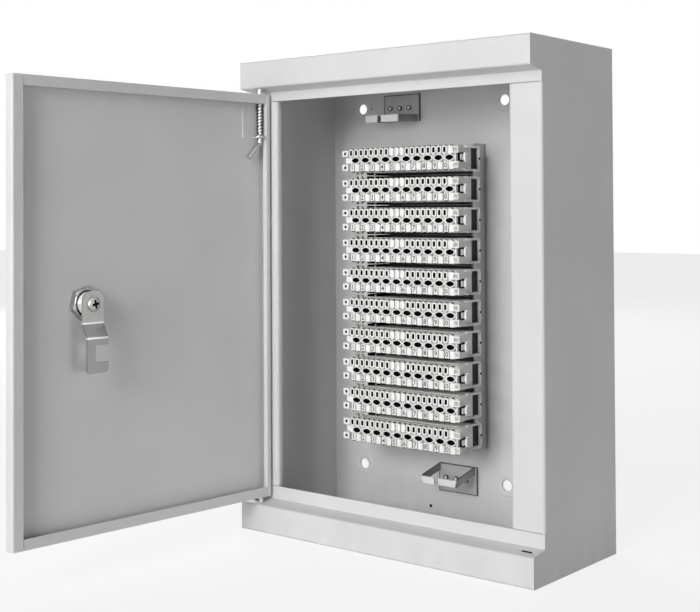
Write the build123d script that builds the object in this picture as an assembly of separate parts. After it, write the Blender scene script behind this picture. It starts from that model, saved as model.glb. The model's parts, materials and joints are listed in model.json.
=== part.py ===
from build123d import *
import math
import os

os.makedirs("parts", exist_ok=True)

# Wall-mounting telephone distribution cabinet, millimetres.
# X runs across the front, Y runs from the front to the wall, Z is up.
# Modelling plane Y = 0 is the front face of the door frame; the finished
# pieces are moved so that the origin is the centre of the cabinet's base.

# Case
case_width = 245.0
case_height = 350.0
case_depth = 102.0
case_sheet = 1.2
bend_radius = 1.0
jamb_width = 24.0
jamb_return = 4.6
hood_project = 14.5
hood_face = 20.0
hood_fall = 2.4
hood_rail = 7.0
sill_face = 20.0
sill_rise = 2.8
sill_rail = 9.2
rail_gap = 0.5

# Wall fixing holes, from the case's hinge side, lock side, top and base
wall_hole = 8.0
wall_inset_hinge = 29.5
wall_inset_lock = 85.7
wall_inset_top = 30.2
wall_inset_base = 35.0

# Door pan
door_inset = 7.0
door_gap = 6.0
door_clear_top = 2.2
door_clear_bottom = 2.2
door_sheet = 1.0
door_depth = 8.0
lip_free = 8.3
lip_hinge = 5.0
lip_end = 7.0
lip_return = 3.0
lip_joint_gap = 0.4
door_open_angle = 94.0

# Hinge, an upper spring bolt and a lower fixed pin on one axis
hinge_inset = 8.0
hinge_from_skin = 4.5
pin_diameter = 3.2
pin_clearance = 0.08
pin_reach = 4.0
collar_diameter = 4.4
collar_height = 2.0
collar_clearance = 0.3
spring_wire = 0.8
spring_diameter = 5.2
spring_turns = 4
tab_below_collar = 28.5
bolt_tail = 16.0
bolt_below_tab = 4.0
bolt_tail_angle = 45.0
bracket_sheet = 0.8
bracket_width = 15.0
bracket_edge = 5.0
tab_half_width = 6.0
lower_head_diameter = 4.8
lower_head_height = 1.8

# Quarter-turn lock
lock_inset = 60.0
lock_height = 177.5
barrel_diameter = 15.8
barrel_clearance = 0.3
barrel_inside = 11.0
bezel_diameter = 21.0
bezel_height = 2.4
key_slot_width = 1.6
key_slot_length = 7.0
key_slot_depth = 3.0
nut_across_flats = 20.2
nut_height = 5.4
plug_diameter = 9.0
plug_clearance = 0.05
cam_sheet = 1.8
cam_width = 17.0
cam_reach = 44.8
cam_head = 8.5
cam_joggle = 5.0
cam_joggle_start = 13.1
cam_joggle_length = 8.9
cam_stem = 6.4
cam_notch_start = 26.5
cam_foot = 7.0
cam_foot_round = 3.0
cam_gap = 0.3
screw_head_diameter = 10.0
screw_head_height = 2.6
strike_height = 26.0

# Cable entry in the base
entry_diameter = 28.0
entry_offset_x = 60.0
grommet_bore = 20.0
grommet_flange = 33.0
grommet_lip = 3.0
drain_length = 7.0
drain_width = 2.0
drain_inset = 8.0

# Back-mount frame
frame_sheet = 1.5
frame_flange = 18.0
frame_width = 76.4
frame_above_base = 60.6
frame_below_top = 62.3
frame_corner = 4.0
frame_screw_inset = 14.0
frame_screw_head = 7.0
frame_screw_height = 2.2

# Disconnection modules
module_count = 10
module_below_frame_top = 11.7
module_above_frame_foot = 12.9
module_centre_x = -17.3
module_depth = 40.0
module_face_gap = 5.1
module_body_gap = 3.9
module_face_depth = 14.0
module_body_width = 84.0
contact_pitch = 4.61
contact_count = 20
contact_slot = 1.5
contact_depth = 5.0
contact_margin = 2.6
ear_width = 5.6
ear_depth = 3.0
ear_gap = 5.7
ear_edge = 0.95
rim_width = 1.4
rim_proud = 2.0
rim_length = 19.0
nose_height = 4.4
nose_proud = 4.0
strip_height = 5.4
strip_thick = 1.5
lens_width = 7.2
lens_height = 3.8
lens_depth = 1.1

# Cable rings
ring_sheet = 1.5
ring_width = 33.8
ring_plate = 21.4
ring_arm_inset = 2.0
ring_strip = 5.4
ring_reach = 27.0
ring_bend = 1.6
ring_gap = 3.6
ring_gap_shift = -2.6
upper_ring_droop = 3.0
lower_ring_droop = 13.0
upper_ring_x = -54.2
upper_ring_below_top = 31.4
lower_ring_x = -4.5
lower_ring_z = 34.6
rivet_pitch = 8.8
rivet_shift = -1.5
rivet_diameter = 4.0
rivet_height = 1.2
rivet_sides = 10

# Derived planes and heights
half_width = case_width / 2
back_inner = case_depth - case_sheet
hood_bottom = case_height - hood_face
hood_frame_z = hood_bottom - hood_fall
sill_frame_z = sill_face + sill_rise
jamb_top = hood_frame_z - hood_rail - rail_gap
jamb_bottom = sill_frame_z + sill_rail + rail_gap
frame_bottom = frame_above_base
frame_top = case_height - frame_below_top
module_first_z = frame_top - module_below_frame_top
module_last_z = frame_bottom + module_above_frame_foot
module_pitch = (module_first_z - module_last_z) / (module_count - 1)
upper_ring_z = case_height - upper_ring_below_top
base_centre_y = (case_depth - hood_project) / 2
placed = Pos(0, -base_centre_y, 0)


def folded(points, sheet, radius):
    """Section of a folded sheet from its mid-line and inside bend radius."""
    return trace(FilletPolyline(*points, radius=radius + sheet / 2), sheet)


def save(piece, node):
    """Write one finished piece under its node name."""
    piece.label = node
    export_step(placed * piece, f"parts/{node}.step")


def rod(diameter, low, high, x=0.0, y=0.0):
    """Upright round bar between two heights."""
    return Pos(x, y, (low + high) / 2) * Cylinder(diameter / 2, high - low)


# Case: back, sides, jambs and returns in one folded sheet
mid = case_sheet / 2
side_mid = half_width - mid
jamb_mid = half_width - jamb_width + mid


def jamb_section(hand):
    """Half of the case section, from the back's middle round to one jamb's return."""
    points = [
        (0, case_depth - mid),
        (hand * side_mid, case_depth - mid),
        (hand * side_mid, mid),
        (hand * jamb_mid, mid),
        (hand * jamb_mid, jamb_return),
    ]
    return folded(points, case_sheet, bend_radius)


def open_section(hand):
    """Half of the case section above or below the jambs: back and side only."""
    points = [
        (0, case_depth - mid),
        (hand * side_mid, case_depth - mid),
        (hand * side_mid, -hood_project),
    ]
    return folded(points, case_sheet, bend_radius)


framed_part = extrude(jamb_section(1) + jamb_section(-1), jamb_top - jamb_bottom)
side_sheets = extrude(open_section(1) + open_section(-1), case_height)
side_outline = Plane.YZ * make_face(
    Polyline(
        (case_depth + 1, 0),
        (-hood_project, 0),
        (-hood_project, sill_face),
        (0, sill_frame_z),
        (0, jamb_bottom),
        (case_depth / 2, jamb_bottom),
        (case_depth / 2, jamb_top),
        (0, jamb_top),
        (0, hood_frame_z),
        (-hood_project, hood_bottom),
        (-hood_project, case_height),
        (case_depth + 1, case_height),
        close=True,
    )
)
side_sheets = side_sheets & extrude(side_outline, half_width + 1, both=True)
case_wrap = side_sheets + Pos(0, 0, jamb_bottom) * framed_part

# Wall fixing holes
for x in (wall_inset_hinge - half_width, half_width - wall_inset_lock):
    for z in (wall_inset_base, case_height - wall_inset_top):
        case_wrap -= Pos(x, case_depth, z) * Rot(90, 0, 0) * Cylinder(wall_hole / 2, 4 * case_sheet)

# Notch in the lock side's return, where the cam swings behind the jamb
case_wrap -= Pos(half_width - jamb_width, case_sheet + jamb_return, lock_height) * Box(
    4 * case_sheet, 2 * jamb_return, strike_height
)

# Hinge axis in plan, and the door's span when closed
hinge_x = -half_width + door_inset + hinge_inset
hinge_y = -door_gap - door_depth + hinge_from_skin
door_bottom = sill_frame_z + door_clear_bottom
door_top = hood_frame_z - door_clear_top
door_left = -half_width + door_inset
door_right = half_width - door_inset
skin_y = -door_gap - door_depth
lip_y = -door_gap
pin_hole = pin_diameter / 2 + pin_clearance

# Hood and sill, each one folded sheet between the side sheets
inside_width = case_width - 2 * case_sheet
hood_points = [
    (back_inner, case_height - mid),
    (-hood_project + mid, case_height - mid),
    (-hood_project + mid, hood_bottom + mid),
    (mid, hood_frame_z + mid),
    (mid, hood_frame_z - hood_rail),
]
top_hood = extrude(Plane.YZ * folded(hood_points, case_sheet, bend_radius / 2), inside_width / 2, both=True)
top_hood = chamfer(top_hood.edges().filter_by(Axis.Z).group_by(Axis.Y)[-1], bend_radius)
top_hood -= rod(2 * pin_hole, hood_frame_z - 1, hood_bottom + 2 * case_sheet, hinge_x, hinge_y)

sill_points = [
    (back_inner, mid),
    (-hood_project + mid, mid),
    (-hood_project + mid, sill_face - mid),
    (mid, sill_frame_z - mid),
    (mid, sill_frame_z + sill_rail),
]
bottom_sill = extrude(Plane.YZ * folded(sill_points, case_sheet, bend_radius / 2), inside_width / 2, both=True)
bottom_sill = chamfer(bottom_sill.edges().filter_by(Axis.Z).group_by(Axis.Y)[-1], bend_radius)
bottom_sill -= rod(2 * pin_hole, sill_face - 2 * case_sheet, sill_frame_z + 1, hinge_x, hinge_y)
for hand in (-1, 1):
    bottom_sill -= Pos(hand * (half_width - drain_inset), -hood_project / 2, sill_face) * Box(
        drain_length, drain_width, sill_face / 2
    )
entry_place = Pos(entry_offset_x, base_centre_y, 0)
bottom_sill -= entry_place * Cylinder(entry_diameter / 2, 4 * case_sheet)

# Rubber grommet seated in the cable entry
grommet_profile = make_face(
    Polyline(
        (grommet_bore / 2, 0),
        (entry_diameter / 2, 0),
        (entry_diameter / 2, case_sheet),
        (grommet_flange / 2, case_sheet),
        (grommet_bore / 2, case_sheet + grommet_lip),
        close=True,
    )
)
entry_grommet = entry_place * revolve(Plane.XZ * grommet_profile, Axis.Z)

# Door pan, drawn closed: skin, four flanges and inward lips
door_width = door_right - door_left
skin_mid = skin_y + door_sheet / 2
lip_mid = lip_y - door_sheet / 2
half_sheet = door_sheet / 2
pan_points = [
    (door_left + lip_hinge - half_sheet, lip_y - lip_return),
    (door_left + lip_hinge - half_sheet, lip_mid),
    (door_left + half_sheet, lip_mid),
    (door_left + half_sheet, skin_mid),
    (door_right - half_sheet, skin_mid),
    (door_right - half_sheet, lip_mid),
    (door_right - lip_free, lip_mid),
]
pan_section = folded(pan_points, door_sheet, door_sheet / 2)
door_pan = Pos(0, 0, door_bottom) * extrude(pan_section, door_top - door_bottom)
end_width = door_width - 2 * door_sheet - 2 * lip_joint_gap
end_lip_left = door_left + lip_hinge + lip_joint_gap
end_lip_right = door_right - lip_free - lip_joint_gap
end_lip_width = end_lip_right - end_lip_left
for level, turn in ((door_bottom, 1), (door_top, -1)):
    flange_y = (skin_mid + lip_y) / 2
    lip_z = level + turn * lip_end / 2
    door_pan += Pos(0, flange_y, level + turn * half_sheet) * Box(end_width, lip_y - skin_mid, door_sheet)
    door_pan += Pos((end_lip_left + end_lip_right) / 2, lip_mid, lip_z) * Box(end_lip_width, door_sheet, lip_end)
door_pan -= rod(2 * pin_hole, door_bottom - 1, door_bottom + 2 * door_sheet, hinge_x, hinge_y)
door_pan -= rod(2 * pin_hole, door_top - 2 * door_sheet, door_top + 1, hinge_x, hinge_y)
lock_x = door_right - lock_inset
lock_plane = Plane(origin=(lock_x, skin_y, lock_height), x_dir=(1, 0, 0), z_dir=(0, 1, 0))
lock_hole = barrel_diameter / 2 + barrel_clearance
door_pan -= lock_plane * Cylinder(lock_hole, 4 * door_sheet)

# Spring bolt: straight shank through the door's top flange, bent pull below
collar_top = door_top - door_sheet - collar_clearance
collar_low = collar_top - collar_height
tab_top = collar_low - tab_below_collar
tab_low = tab_top - bracket_sheet
bolt_tip = door_top + door_clear_top + pin_reach
bolt_corner = tab_low - bolt_below_tab
tail_run = bolt_tail * math.sin(math.radians(bolt_tail_angle))
tail_drop = bolt_tail * math.cos(math.radians(bolt_tail_angle))
bolt_path = Pos(hinge_x, hinge_y, 0) * (
    Plane.XZ * Polyline((0, bolt_tip), (0, bolt_corner), (tail_run, bolt_corner - tail_drop))
)
bolt_section = Plane(bolt_path @ 0, z_dir=bolt_path % 0) * Circle(pin_diameter / 2)
hinge_bolt = sweep(bolt_section, path=bolt_path, transition=Transition.RIGHT)
hinge_bolt += rod(collar_diameter, collar_low, collar_top, hinge_x, hinge_y)

# Coil spring between the bracket's tab and the bolt's collar
coil_radius = (spring_diameter - spring_wire) / 2
coil_low = tab_top + spring_wire / 2
coil_height = collar_low - tab_top - spring_wire
coil_path = Pos(hinge_x, hinge_y, coil_low) * Helix(coil_height / spring_turns, coil_height, coil_radius)
coil_wire = RegularPolygon(spring_wire / 2, 3)
hinge_spring = sweep(Plane(coil_path @ 0, z_dir=coil_path % 0) * coil_wire, path=coil_path, is_frenet=True)

# Bracket welded inside the skin, with the tab that guides the bolt
bracket_right = hinge_x + bracket_width
skin_inner = skin_y + door_sheet
tab_reach = hinge_from_skin - door_sheet + bracket_edge
bracket_points = [
    (skin_inner + bracket_sheet / 2, collar_low),
    (skin_inner + bracket_sheet / 2, tab_low + bracket_sheet / 2),
    (skin_inner + tab_reach, tab_low + bracket_sheet / 2),
]
bracket_section = Plane.YZ * folded(bracket_points, bracket_sheet, bracket_sheet / 2)
bracket_left = door_left + lip_hinge + lip_joint_gap
bracket_span = bracket_right - bracket_left
hinge_bracket = Pos(bracket_left, 0, 0) * extrude(bracket_section, bracket_span)
hinge_bracket -= rod(2 * pin_hole, tab_low - 1, tab_top + 1, hinge_x, hinge_y)
tab_right = hinge_x + tab_half_width
hinge_bracket -= Pos(tab_right + bracket_width / 2, skin_inner + 2 * bracket_sheet + tab_reach / 2, tab_low) * Box(
    bracket_width, tab_reach, 4 * bracket_sheet
)

# Lower hinge pin, riveted through the door's bottom flange
lower_pin = rod(pin_diameter, sill_frame_z - pin_reach, door_bottom + door_sheet, hinge_x, hinge_y)
lower_pin += rod(
    lower_head_diameter, door_bottom + door_sheet, door_bottom + door_sheet + lower_head_height, hinge_x, hinge_y
)

# Lock: barrel and bezel outside, nut inside, plug, cam and screw
plug_hole = plug_diameter / 2 + plug_clearance
barrel = lock_plane * Pos(0, 0, barrel_inside / 2 - cam_gap / 2) * Cylinder(barrel_diameter / 2, barrel_inside - cam_gap)
bezel = lock_plane * Pos(0, 0, -bezel_height / 2) * Cylinder(bezel_diameter / 2, bezel_height)
lock_barrel = barrel + bezel - lock_plane * Cylinder(plug_hole, 4 * barrel_inside)
nut_low = door_sheet
lock_nut = lock_plane * Pos(0, 0, nut_low) * extrude(
    RegularPolygon(nut_across_flats / 2, 6, major_radius=False, rotation=30) - Circle(barrel_diameter / 2), nut_height
)
plug_length = barrel_inside + bezel_height
lock_plug = lock_plane * Pos(0, 0, plug_length / 2 - bezel_height) * Cylinder(plug_diameter / 2, plug_length)
lock_plug -= lock_plane * Pos(0, 0, -bezel_height + key_slot_depth / 2) * Box(
    key_slot_width, key_slot_length, key_slot_depth
)

# Cam: a joggled strip with a hooked foot, pointing down when unlocked
cam_low = barrel_inside
joggle_end = cam_joggle_start + cam_joggle_length
cam_line = FilletPolyline(
    (cam_low + cam_sheet / 2, cam_head),
    (cam_low + cam_sheet / 2, -cam_joggle_start),
    (cam_low + cam_joggle + cam_sheet / 2, -joggle_end),
    (cam_low + cam_joggle + cam_sheet / 2, -cam_reach),
    radius=cam_sheet,
)
cam_frame = Plane(origin=(lock_x, skin_y, lock_height), x_dir=(0, 1, 0), z_dir=(1, 0, 0))
cam_strip = extrude(cam_frame * trace(cam_line, cam_sheet), cam_width / 2, both=True)
notch_height = cam_reach - cam_foot - cam_notch_start
notch = Pos(-cam_width / 2, 0, -cam_notch_start - notch_height / 2) * Box(
    2 * (cam_width - cam_stem), 8 * cam_joggle, notch_height
)
lock_cam = cam_strip - Pos(lock_x, skin_y, lock_height) * notch
cam_corners = lock_cam.edges().filter_by(Axis.Y).group_by(Axis.Z)
lock_cam = fillet(cam_corners[-1], 0.4 * cam_width)
cam_corners = lock_cam.edges().filter_by(Axis.Y).group_by(Axis.Z)
lock_cam = fillet(cam_corners[0], cam_foot_round)
screw_low = cam_low + cam_sheet
cam_screw = lock_plane * Pos(0, 0, screw_low + screw_head_height / 2) * Cylinder(
    screw_head_diameter / 2, screw_head_height
)

# Everything carried by the door is turned open about the hinge axis
hinge_axis = Axis((hinge_x, hinge_y, 0), (0, 0, 1))
door_pieces = {
    "door_pan": door_pan,
    "hinge_bolt": hinge_bolt,
    "hinge_spring": hinge_spring,
    "hinge_bracket": hinge_bracket,
    "lower_hinge_pin": lower_pin,
    "lock_barrel": lock_barrel,
    "lock_nut": lock_nut,
    "lock_plug": lock_plug,
    "lock_cam": lock_cam,
    "cam_screw": cam_screw,
}

# Back-mount frame: a channel whose flanges carry the modules
frame_half = frame_width / 2 - frame_sheet / 2
frame_front = back_inner - frame_flange
channel_points = [
    (-frame_half, frame_front),
    (-frame_half, back_inner - frame_sheet / 2),
    (frame_half, back_inner - frame_sheet / 2),
    (frame_half, frame_front),
]
channel = extrude(folded(channel_points, frame_sheet, frame_sheet), frame_top - frame_bottom)
flange_outline = Plane.YZ * make_face(
    Polyline(
        (back_inner, frame_bottom),
        (frame_front + frame_corner, frame_bottom),
        (frame_front, frame_bottom + frame_corner),
        (frame_front, frame_top - frame_corner),
        (frame_front + frame_corner, frame_top),
        (back_inner, frame_top),
        close=True,
    )
)
module_frame = Pos(0, 0, frame_bottom) * channel & extrude(flange_outline, frame_width, both=True)
frame_screws = []
for z in (frame_bottom + frame_screw_inset, frame_top - frame_screw_inset):
    head = Pos(0, back_inner - frame_sheet, z) * Rot(90, 0, 0) * extrude(
        RegularPolygon(frame_screw_head / 2, 6, major_radius=False), frame_screw_height
    )
    frame_screws.append(head)

# Disconnection module: slotted face, body, ears, end rims and latch noses
module_height = module_pitch - module_face_gap
module_body_height = module_pitch - module_body_gap
module_front = frame_front - module_depth
face_width = contact_pitch * (contact_count - 1) + contact_slot + 2 * contact_margin
face_back = module_front + module_face_depth
module = Pos(0, (module_front + face_back) / 2, 0) * Box(face_width, module_face_depth, module_height)
contact_cut = Pos(0, module_front, 0) * Box(contact_slot, 2 * contact_depth, 2 * module_height)
for spot in GridLocations(contact_pitch, 1, contact_count, 1):
    module -= spot * contact_cut
body_depth = module_depth - module_face_depth
module += Pos(0, frame_front - body_depth / 2, 0) * Box(module_body_width, body_depth, module_body_height)
ear_x = face_width / 2 + ear_width / 2
ear_height = (module_height - ear_gap) / 2 - ear_edge
ear_offset = (ear_gap + ear_height) / 2
for hand in (-1, 1):
    for level in (-ear_offset, ear_offset):
        module += Pos(hand * ear_x, module_front + ear_depth / 2, level) * Box(ear_width, ear_depth, ear_height)
rim_low = -module_body_height / 2
rim_high = module_body_height / 2
rim_back = frame_front
rim_front = frame_front - rim_length
outer = [(rim_front, rim_low), (rim_back, rim_low), (rim_back, rim_high), (rim_front, rim_high)]
inner = [
    (rim_front, rim_high - rim_width),
    (rim_back - rim_width, rim_high - rim_width),
    (rim_back - rim_width, rim_low + rim_width),
    (rim_front, rim_low + rim_width),
]
rim = extrude(Plane.YZ * make_face(Polyline(*outer, *inner, close=True)), module_body_width / 2 + rim_proud, both=True)
rim -= Box(module_body_width - 1, 4 * case_depth, 2 * module_height)
module += rim
nose_depth = module_face_depth / 2
for hand in (-1, 1):
    module += Pos(hand * (face_width + nose_proud) / 2, module_front + nose_depth, 0) * Box(
        nose_proud, nose_depth, nose_height
    )

# Test strip over the middle of each face, with one pointed opening to a pair
lens = make_face(
    Polyline((-lens_width / 2, 0), (0, lens_height / 2), (lens_width / 2, 0), (0, -lens_height / 2), close=True)
)
strip_plane = Plane(origin=(0, module_front, 0), x_dir=(1, 0, 0), z_dir=(0, -1, 0))
strip = strip_plane * extrude(Rectangle(face_width, strip_height), strip_thick)
lens_plane = Plane(origin=(0, module_front - strip_thick, 0), x_dir=(1, 0, 0), z_dir=(0, 1, 0))
lens_cut = lens_plane * extrude(lens, lens_depth)
for spot in GridLocations(2 * contact_pitch, 1, contact_count // 2, 1):
    strip -= Pos(contact_pitch / 2, 0, 0) * spot * lens_cut

# Cable ring: riveted plate, two arms and two front bars with a gap
def cable_ring(x, z, turn, droop):
    """One stamped ring. turn is 1 with its arms at the plate's top edge, and droop lowers its front."""
    left = (ring_sheet - ring_width) / 2
    right = -left - ring_arm_inset
    front = -ring_reach
    gap_left = ring_gap_shift - ring_gap / 2
    gap_right = ring_gap_shift + ring_gap / 2
    loop = folded([(left, -mid), (left, front), (gap_left, front)], ring_sheet, ring_bend)
    loop += folded([(right, -mid), (right, front), (gap_right, front)], ring_sheet, ring_bend)
    arms = Rot(droop, 0, 0) * extrude(loop, ring_strip / 2, both=True)
    arm_z = turn * (ring_plate / 2 - ring_strip / 2)
    plate = Pos(0, -ring_sheet / 2, 0) * Box(ring_width, ring_sheet, ring_plate)
    ring = plate + Pos(0, -ring_sheet / 2, arm_z) * arms
    ring = ring & Pos(0, -ring_reach, 0) * Box(2 * ring_width, 2 * ring_reach, 3 * ring_plate)
    return Pos(x, back_inner, z) * ring


def ring_rivets(x, z):
    """Rivet heads across a ring's plate."""
    rivets = []
    for spot in GridLocations(rivet_pitch, 1, 3, 1):
        head = Rot(90, 0, 0) * extrude(RegularPolygon(rivet_diameter / 2, rivet_sides), rivet_height)
        rivets.append(Pos(x + rivet_shift, back_inner - ring_sheet, z) * spot * head)
    return rivets


save(case_wrap, "case_wrap")
save(top_hood, "top_hood")
save(bottom_sill, "bottom_sill")
save(entry_grommet, "entry_grommet")
for node, piece in door_pieces.items():
    save(piece.rotate(hinge_axis, -door_open_angle), node)
centred = Pos(module_centre_x, 0, 0)
save(centred * module_frame, "module_frame")
save(centred * Compound(frame_screws), "frame_screws")
strips = []
for index in range(module_count):
    level = centred * Pos(0, 0, module_first_z - index * module_pitch)
    save(level * module, f"module_{index + 1:02d}")
    strips.append(level * strip)
save(Compound(strips), "module_test_strips")
save(cable_ring(upper_ring_x, upper_ring_z, -1, upper_ring_droop), "upper_cable_ring")
save(cable_ring(lower_ring_x, lower_ring_z, 1, lower_ring_droop), "lower_cable_ring")
save(Compound(ring_rivets(upper_ring_x, upper_ring_z) + ring_rivets(lower_ring_x, lower_ring_z)), "ring_rivets")
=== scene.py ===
"""Telephone distribution cabinet: finishes, disconnection modules, small metalwork and studio."""
import json
import math

import bmesh
import bpy
from mathutils import Matrix, Vector


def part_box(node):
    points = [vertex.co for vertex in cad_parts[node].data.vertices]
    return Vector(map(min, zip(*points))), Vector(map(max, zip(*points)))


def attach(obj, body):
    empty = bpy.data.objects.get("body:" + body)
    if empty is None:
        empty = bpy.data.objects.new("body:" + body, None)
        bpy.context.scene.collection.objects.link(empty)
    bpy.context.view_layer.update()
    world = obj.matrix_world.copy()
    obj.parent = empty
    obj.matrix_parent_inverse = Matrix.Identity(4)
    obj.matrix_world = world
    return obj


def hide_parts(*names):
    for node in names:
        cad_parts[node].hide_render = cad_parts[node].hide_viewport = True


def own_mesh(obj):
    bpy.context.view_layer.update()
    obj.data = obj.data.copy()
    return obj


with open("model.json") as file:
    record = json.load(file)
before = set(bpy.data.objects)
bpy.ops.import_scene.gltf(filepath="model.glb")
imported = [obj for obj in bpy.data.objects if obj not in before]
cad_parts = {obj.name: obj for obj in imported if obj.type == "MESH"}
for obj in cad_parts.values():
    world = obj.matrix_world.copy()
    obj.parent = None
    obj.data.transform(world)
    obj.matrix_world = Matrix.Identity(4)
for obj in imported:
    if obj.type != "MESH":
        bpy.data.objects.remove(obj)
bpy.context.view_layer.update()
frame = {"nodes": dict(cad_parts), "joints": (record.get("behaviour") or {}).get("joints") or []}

bl_info = {
    "name": "Telephone Distribution Cabinet",
    "version": (1, 0, 0),
    "blender": (4, 5, 0),
    "location": "View3D > Sidebar > Cabinet",
    "description": "Finishes a telephone distribution cabinet and its disconnection modules",
    "category": "Object",
}

MM = 0.001


# Sizes and colours


def length(name, description, default):
    """A length a user may change, given here in millimetres."""
    return bpy.props.FloatProperty(
        name=name,
        description=description,
        default=default * MM,
        min=0.0,
        precision=5,
        unit="LENGTH",
    )


def colour(name, description, level, warmth=0.0):
    """A near-neutral colour: its level, and how much warmer than grey it is."""
    return bpy.props.FloatVectorProperty(
        name=name,
        description=description,
        default=(level * (1 + warmth), level, level * (1 - warmth)),
        min=0.0,
        max=1.0,
        subtype="COLOR",
    )


def power(name, description, default):
    """Power of a lamp, in watts."""
    return bpy.props.FloatProperty(
        name=name, description=description, default=default, min=0.0, unit="POWER"
    )


class CoatSettings(bpy.types.PropertyGroup):
    """Powder coat of the case and the door."""

    case_tone: colour("Case coat", "Light grey coat of the case, hood and sill", 0.69, 0.002)
    door_tone: colour("Door coat", "Light grey coat of the door", 0.69, 0.002)
    grain: length("Grain", "Size of the coat's orange peel", 1.1)
    relief: length("Relief", "Height of the coat's orange peel", 0.035)
    dust_height: length("Dust height", "How far dust climbs from the base", 34.0)


class MetalSettings(bpy.types.PropertyGroup):
    """Bright metals."""

    zinc_tone: colour("Zinc", "Bright zinc plating", 0.62, 0.012)
    chrome_tone: colour("Chrome", "Chrome plating", 0.74, -0.006)
    steel_tone: colour("Stainless steel", "Satin stainless sheet", 0.52, 0.004)
    # The spring wire is kept dark: painted shade for the shade on its coils.
    wire_shade_tone: colour("Spring wire", "Bright drawn wire", 0.15, 0.004)
    contact_tone: colour("Contacts", "Silver-plated contacts", 0.7, 0.02)
    brush_pitch: length("Brush pitch", "Spacing of the satin lines", 0.28)


class ModuleSettings(bpy.types.PropertyGroup):
    """Disconnection modules."""

    plastic_tone: colour("Plastic", "Moulded plastic of the modules", 0.92, 0.004)
    # The slot colour is near-black painted shade inside the slots and openings.
    slot_shade_tone: colour("Slot depth", "Dark inside of the contact slots", 0.004)
    ink_tone: colour("Numbers", "Printed pair numbers", 0.012)
    slot_width: length("Slot width", "Width of a contact slot", 1.95)
    slot_height: length("Slot height", "Height of a contact slot", 3.7)
    cell_width: length("Cell width", "Width of the frame round a slot", 3.85)
    lens_width: length("Opening width", "Width of a test opening", 6.7)
    lens_height: length("Opening height", "Height of a test opening", 3.8)
    number_height: length("Number height", "Height of a pair number", 3.5)


class SpringSettings(bpy.types.PropertyGroup):
    """Hinge spring."""

    wire: length("Wire", "Diameter of the spring's wire", 0.8)
    turns: bpy.props.IntProperty(
        name="Turns", description="Coils of the spring", default=13, min=4, max=30
    )


class StudioSettings(bpy.types.PropertyGroup):
    """Camera, lamps and floor."""

    floor_tone: colour("Floor", "Plain pale floor", 0.86)
    lens: bpy.props.FloatProperty(
        name="Focal length", description="Camera focal length", default=66.06, unit="CAMERA"
    )
    key_power: power("Key", "Front lamp", 23.3)
    low_power: power("Low", "Low front lamp", 13.6)
    high_power: power("High", "High front lamp", 7.4)
    rear_power: power("Rear", "Lamp behind, to the left", 26.0)
    side_power: power("Side", "Side lamp", 6.0)
    sky_level: bpy.props.FloatProperty(
        name="Sky", description="Level of the world's light", default=0.01, min=0.0
    )


# Shader expressions


class Field:
    """A value that varies over a surface, written as ordinary arithmetic."""

    def __init__(self, tree, socket):
        self.tree = tree
        self.socket = socket

    def maths(self, operation, first, second):
        return self.tree.node("ShaderNodeMath", {"operation": operation}, {0: first, 1: second})

    def __add__(self, other):
        return self.maths("ADD", self, other)

    __radd__ = __add__

    def __sub__(self, other):
        return self.maths("SUBTRACT", self, other)

    def __rsub__(self, other):
        return self.maths("SUBTRACT", other, self)

    def __mul__(self, other):
        return self.maths("MULTIPLY", self, other)

    __rmul__ = __mul__

    def __truediv__(self, other):
        return self.maths("DIVIDE", self, other)

    def power(self, other):
        return self.maths("POWER", self, other)

    def lesser(self, other):
        return self.maths("MINIMUM", self, other)

    def greater(self, other):
        return self.maths("MAXIMUM", self, other)

    def held(self):
        """The value kept between 0 and 1."""
        return self.greater(0.0).lesser(1.0)


class NodeTree:
    """Shader nodes of a material or of the world, all made by one method."""

    def __init__(self, tree):
        self.tree = tree
        tree.nodes.clear()

    def node(self, kind, settings=None, inputs=None, output=0):
        """A node with its settings made first, then the values or links of its sockets."""
        node = self.tree.nodes.new(kind)
        for setting, value in (settings or {}).items():
            if setting == "stops":
                for stop, (position, level) in zip(node.color_ramp.elements, value):
                    stop.position = position
                    stop.color = (level, level, level, 1.0)
            else:
                setattr(node, setting, value)
        for socket, value in (inputs or {}).items():
            self.join(node.inputs[socket], value)
        return Field(self, node.outputs[output]) if node.outputs else None

    def join(self, socket, value):
        """A link from a field, or a plain value, on a socket."""
        if isinstance(value, Field):
            self.tree.links.new(value.socket, socket)
        else:
            socket.default_value = value

    def seen(self):
        """1 for rays from the camera, from gloss and through clear pieces, 0 for falling light."""
        share = self.node("ShaderNodeLightPath", output="Is Camera Ray")
        for kind in ("Is Glossy Ray", "Is Transmission Ray"):
            share = share.greater(self.node("ShaderNodeLightPath", output=kind))
        return share

    def blended(self, factor, first, second):
        """One shader turning into another with the factor."""
        return self.node("ShaderNodeMixShader", inputs={0: factor, 1: first, 2: second})


def socket_name(word):
    """The shader's own name of a socket written as a plain word."""
    return word.replace("_", " ").title().replace("Ior", "IOR")


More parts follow.
